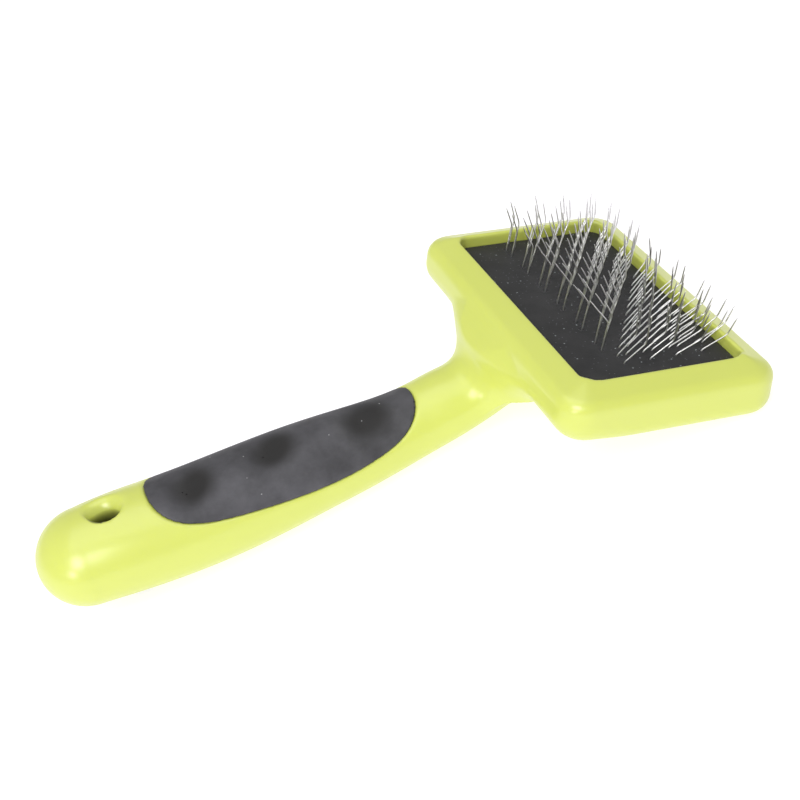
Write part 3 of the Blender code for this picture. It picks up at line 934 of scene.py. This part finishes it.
def pin_steel():
    """Drawn steel wire, a little uneven in tone and gloss."""
    material, shader = new_material("pin_steel", STEEL_BRIGHT, 0.2, 1.0)
    tone = ramp(material, noise(material, 700.0), ((0.2, STEEL_DULL), (0.8, STEEL_BRIGHT)))
    material.node_tree.links.new(tone, shader.inputs["Base Color"])
    gloss = ramp(material, noise(material, 1200.0), ((0.2, 0.27), (0.8, 0.33)))
    material.node_tree.links.new(gloss, shader.inputs["Roughness"])
    return material


def cushion_foam():
    """Open-celled grey foam."""
    material, shader = new_material("cushion_foam", FOAM_LIGHT, 0.95)
    inputs = {"Vector": own_place(material), "Scale": 1800.0}
    cells = add_node(material, "ShaderNodeTexVoronoi", inputs).outputs["Distance"]
    colour = ramp(material, cells, ((0.1, FOAM_DARK), (0.5, FOAM_LIGHT)))
    material.node_tree.links.new(colour, shader.inputs["Base Color"])
    bump(material, shader, cells, 0.8, 0.0003)
    return material


def foundation_cloth():
    """Plain-woven buff cloth."""
    material, shader = new_material("foundation_cloth", CLOTH_LIGHT, 0.9)
    inputs = {"Vector": own_place(material), "Scale": 260.0}
    waves = [add_node(material, "ShaderNodeTexWave", inputs, bands_direction=axis) for axis in "XY"]
    weave = math_node(material, "MAXIMUM", *(wave.outputs["Fac"] for wave in waves))
    colour = ramp(material, weave, ((0.2, CLOTH_DARK), (0.8, CLOTH_LIGHT)))
    material.node_tree.links.new(colour, shader.inputs["Base Color"])
    bump(material, shader, weave, 0.7, 0.0003)
    return material


# ---------------------------------------------------------------- stage

def make_stage():
    """A plain pale floor."""
    mesh = bpy.data.meshes.new("floor")
    corners = [(x * FLOOR_REACH, y * FLOOR_REACH, 0.0) for x, y in ((-1, -1), (1, -1), (1, 1), (-1, 1))]
    mesh.from_pydata(corners, [], [(0, 1, 2, 3)])
    floor = bpy.data.objects.new("floor", mesh)
    bpy.context.collection.objects.link(floor)
    material, shader = new_material("floor_white", FLOOR_GREY, 0.8)
    shader.inputs["Specular IOR Level"].default_value = 0.1
    shader.inputs["Emission Color"].default_value = FLOOR_GLOW_COLOUR
    shader.inputs["Emission Strength"].default_value = FLOOR_GLOW
    floor.data.materials.append(material)


def area_light(name, place, size, power):
    """A rectangular soft box that faces the brush."""
    light = bpy.data.lights.new(name, "AREA")
    light.shape = "RECTANGLE"
    light.size, light.size_y = size
    light.energy = power
    obj = bpy.data.objects.new(name, light)
    obj.location = place
    obj.rotation_euler = (Vector(LIGHT_TARGET) - Vector(place)).to_track_quat("-Z", "Y").to_euler()
    bpy.context.collection.objects.link(obj)


def make_lights():
    """An even white world and the soft boxes."""
    world = bpy.data.worlds.new("studio")
    world.use_nodes = True
    background = world.node_tree.nodes["Background"]
    background.inputs["Color"].default_value = (1.0, 1.0, 1.0, 1.0)
    background.inputs["Strength"].default_value = WORLD_STRENGTH
    bpy.context.scene.world = world
    for light in LIGHTS:
        area_light(*light)


def make_camera(to_frame):
    """The camera, given in the head's axes and carried to the frame with them."""
    data = bpy.data.cameras.new("camera")
    data.sensor_width = CAMERA_SENSOR
    data.lens = CAMERA_LENS
    data.clip_start, data.clip_end = 0.01, 20.0
    camera = bpy.data.objects.new("camera", data)
    bpy.context.collection.objects.link(camera)
    right, down, ahead = (Vector(axis) for axis in CAMERA_AXES)
    aim = Matrix((right, -down, -ahead)).transposed().to_4x4()
    tilt = Matrix.Rotation(REST_TILT, 4, "Y")
    camera.matrix_world = Matrix.Translation(to_frame @ Vector(CAMERA_PLACE)) @ tilt @ aim
    bpy.context.scene.camera = camera


def main():
    """Builds every piece on the frame, then the stage, lights and camera."""
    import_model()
    to_frame = frame_matrix()
    draw = random.Random(SEED)

    body = build_body(to_frame)
    grip = build_grip(to_frame)
    pad = build_pad_face(to_frame)
    cushion = build_cushion(to_frame)
    foundation = build_foundation(to_frame)
    pins = build_pins(to_frame, draw)
    stands_for = [
        (body, "body", "body_plastic"),
        (grip, "grip", "grip_rubber"),
        (pad, "pad_face", "pad_rubber"),
        (cushion, "pad_cushion", "cushion_foam"),
        (foundation, "pad_foundation", "foundation_cloth"),
    ]
    stands_for += [(row, f"pin_row_{i:02d}", "pin_steel") for i, row in enumerate(pins, 1)]
    for piece, node, slot in stands_for:
        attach(piece, "root")
        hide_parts(node)

    make_stage()
    make_lights()
    make_camera(to_frame)
    bpy.context.scene.view_settings.view_transform = "Standard"


main()
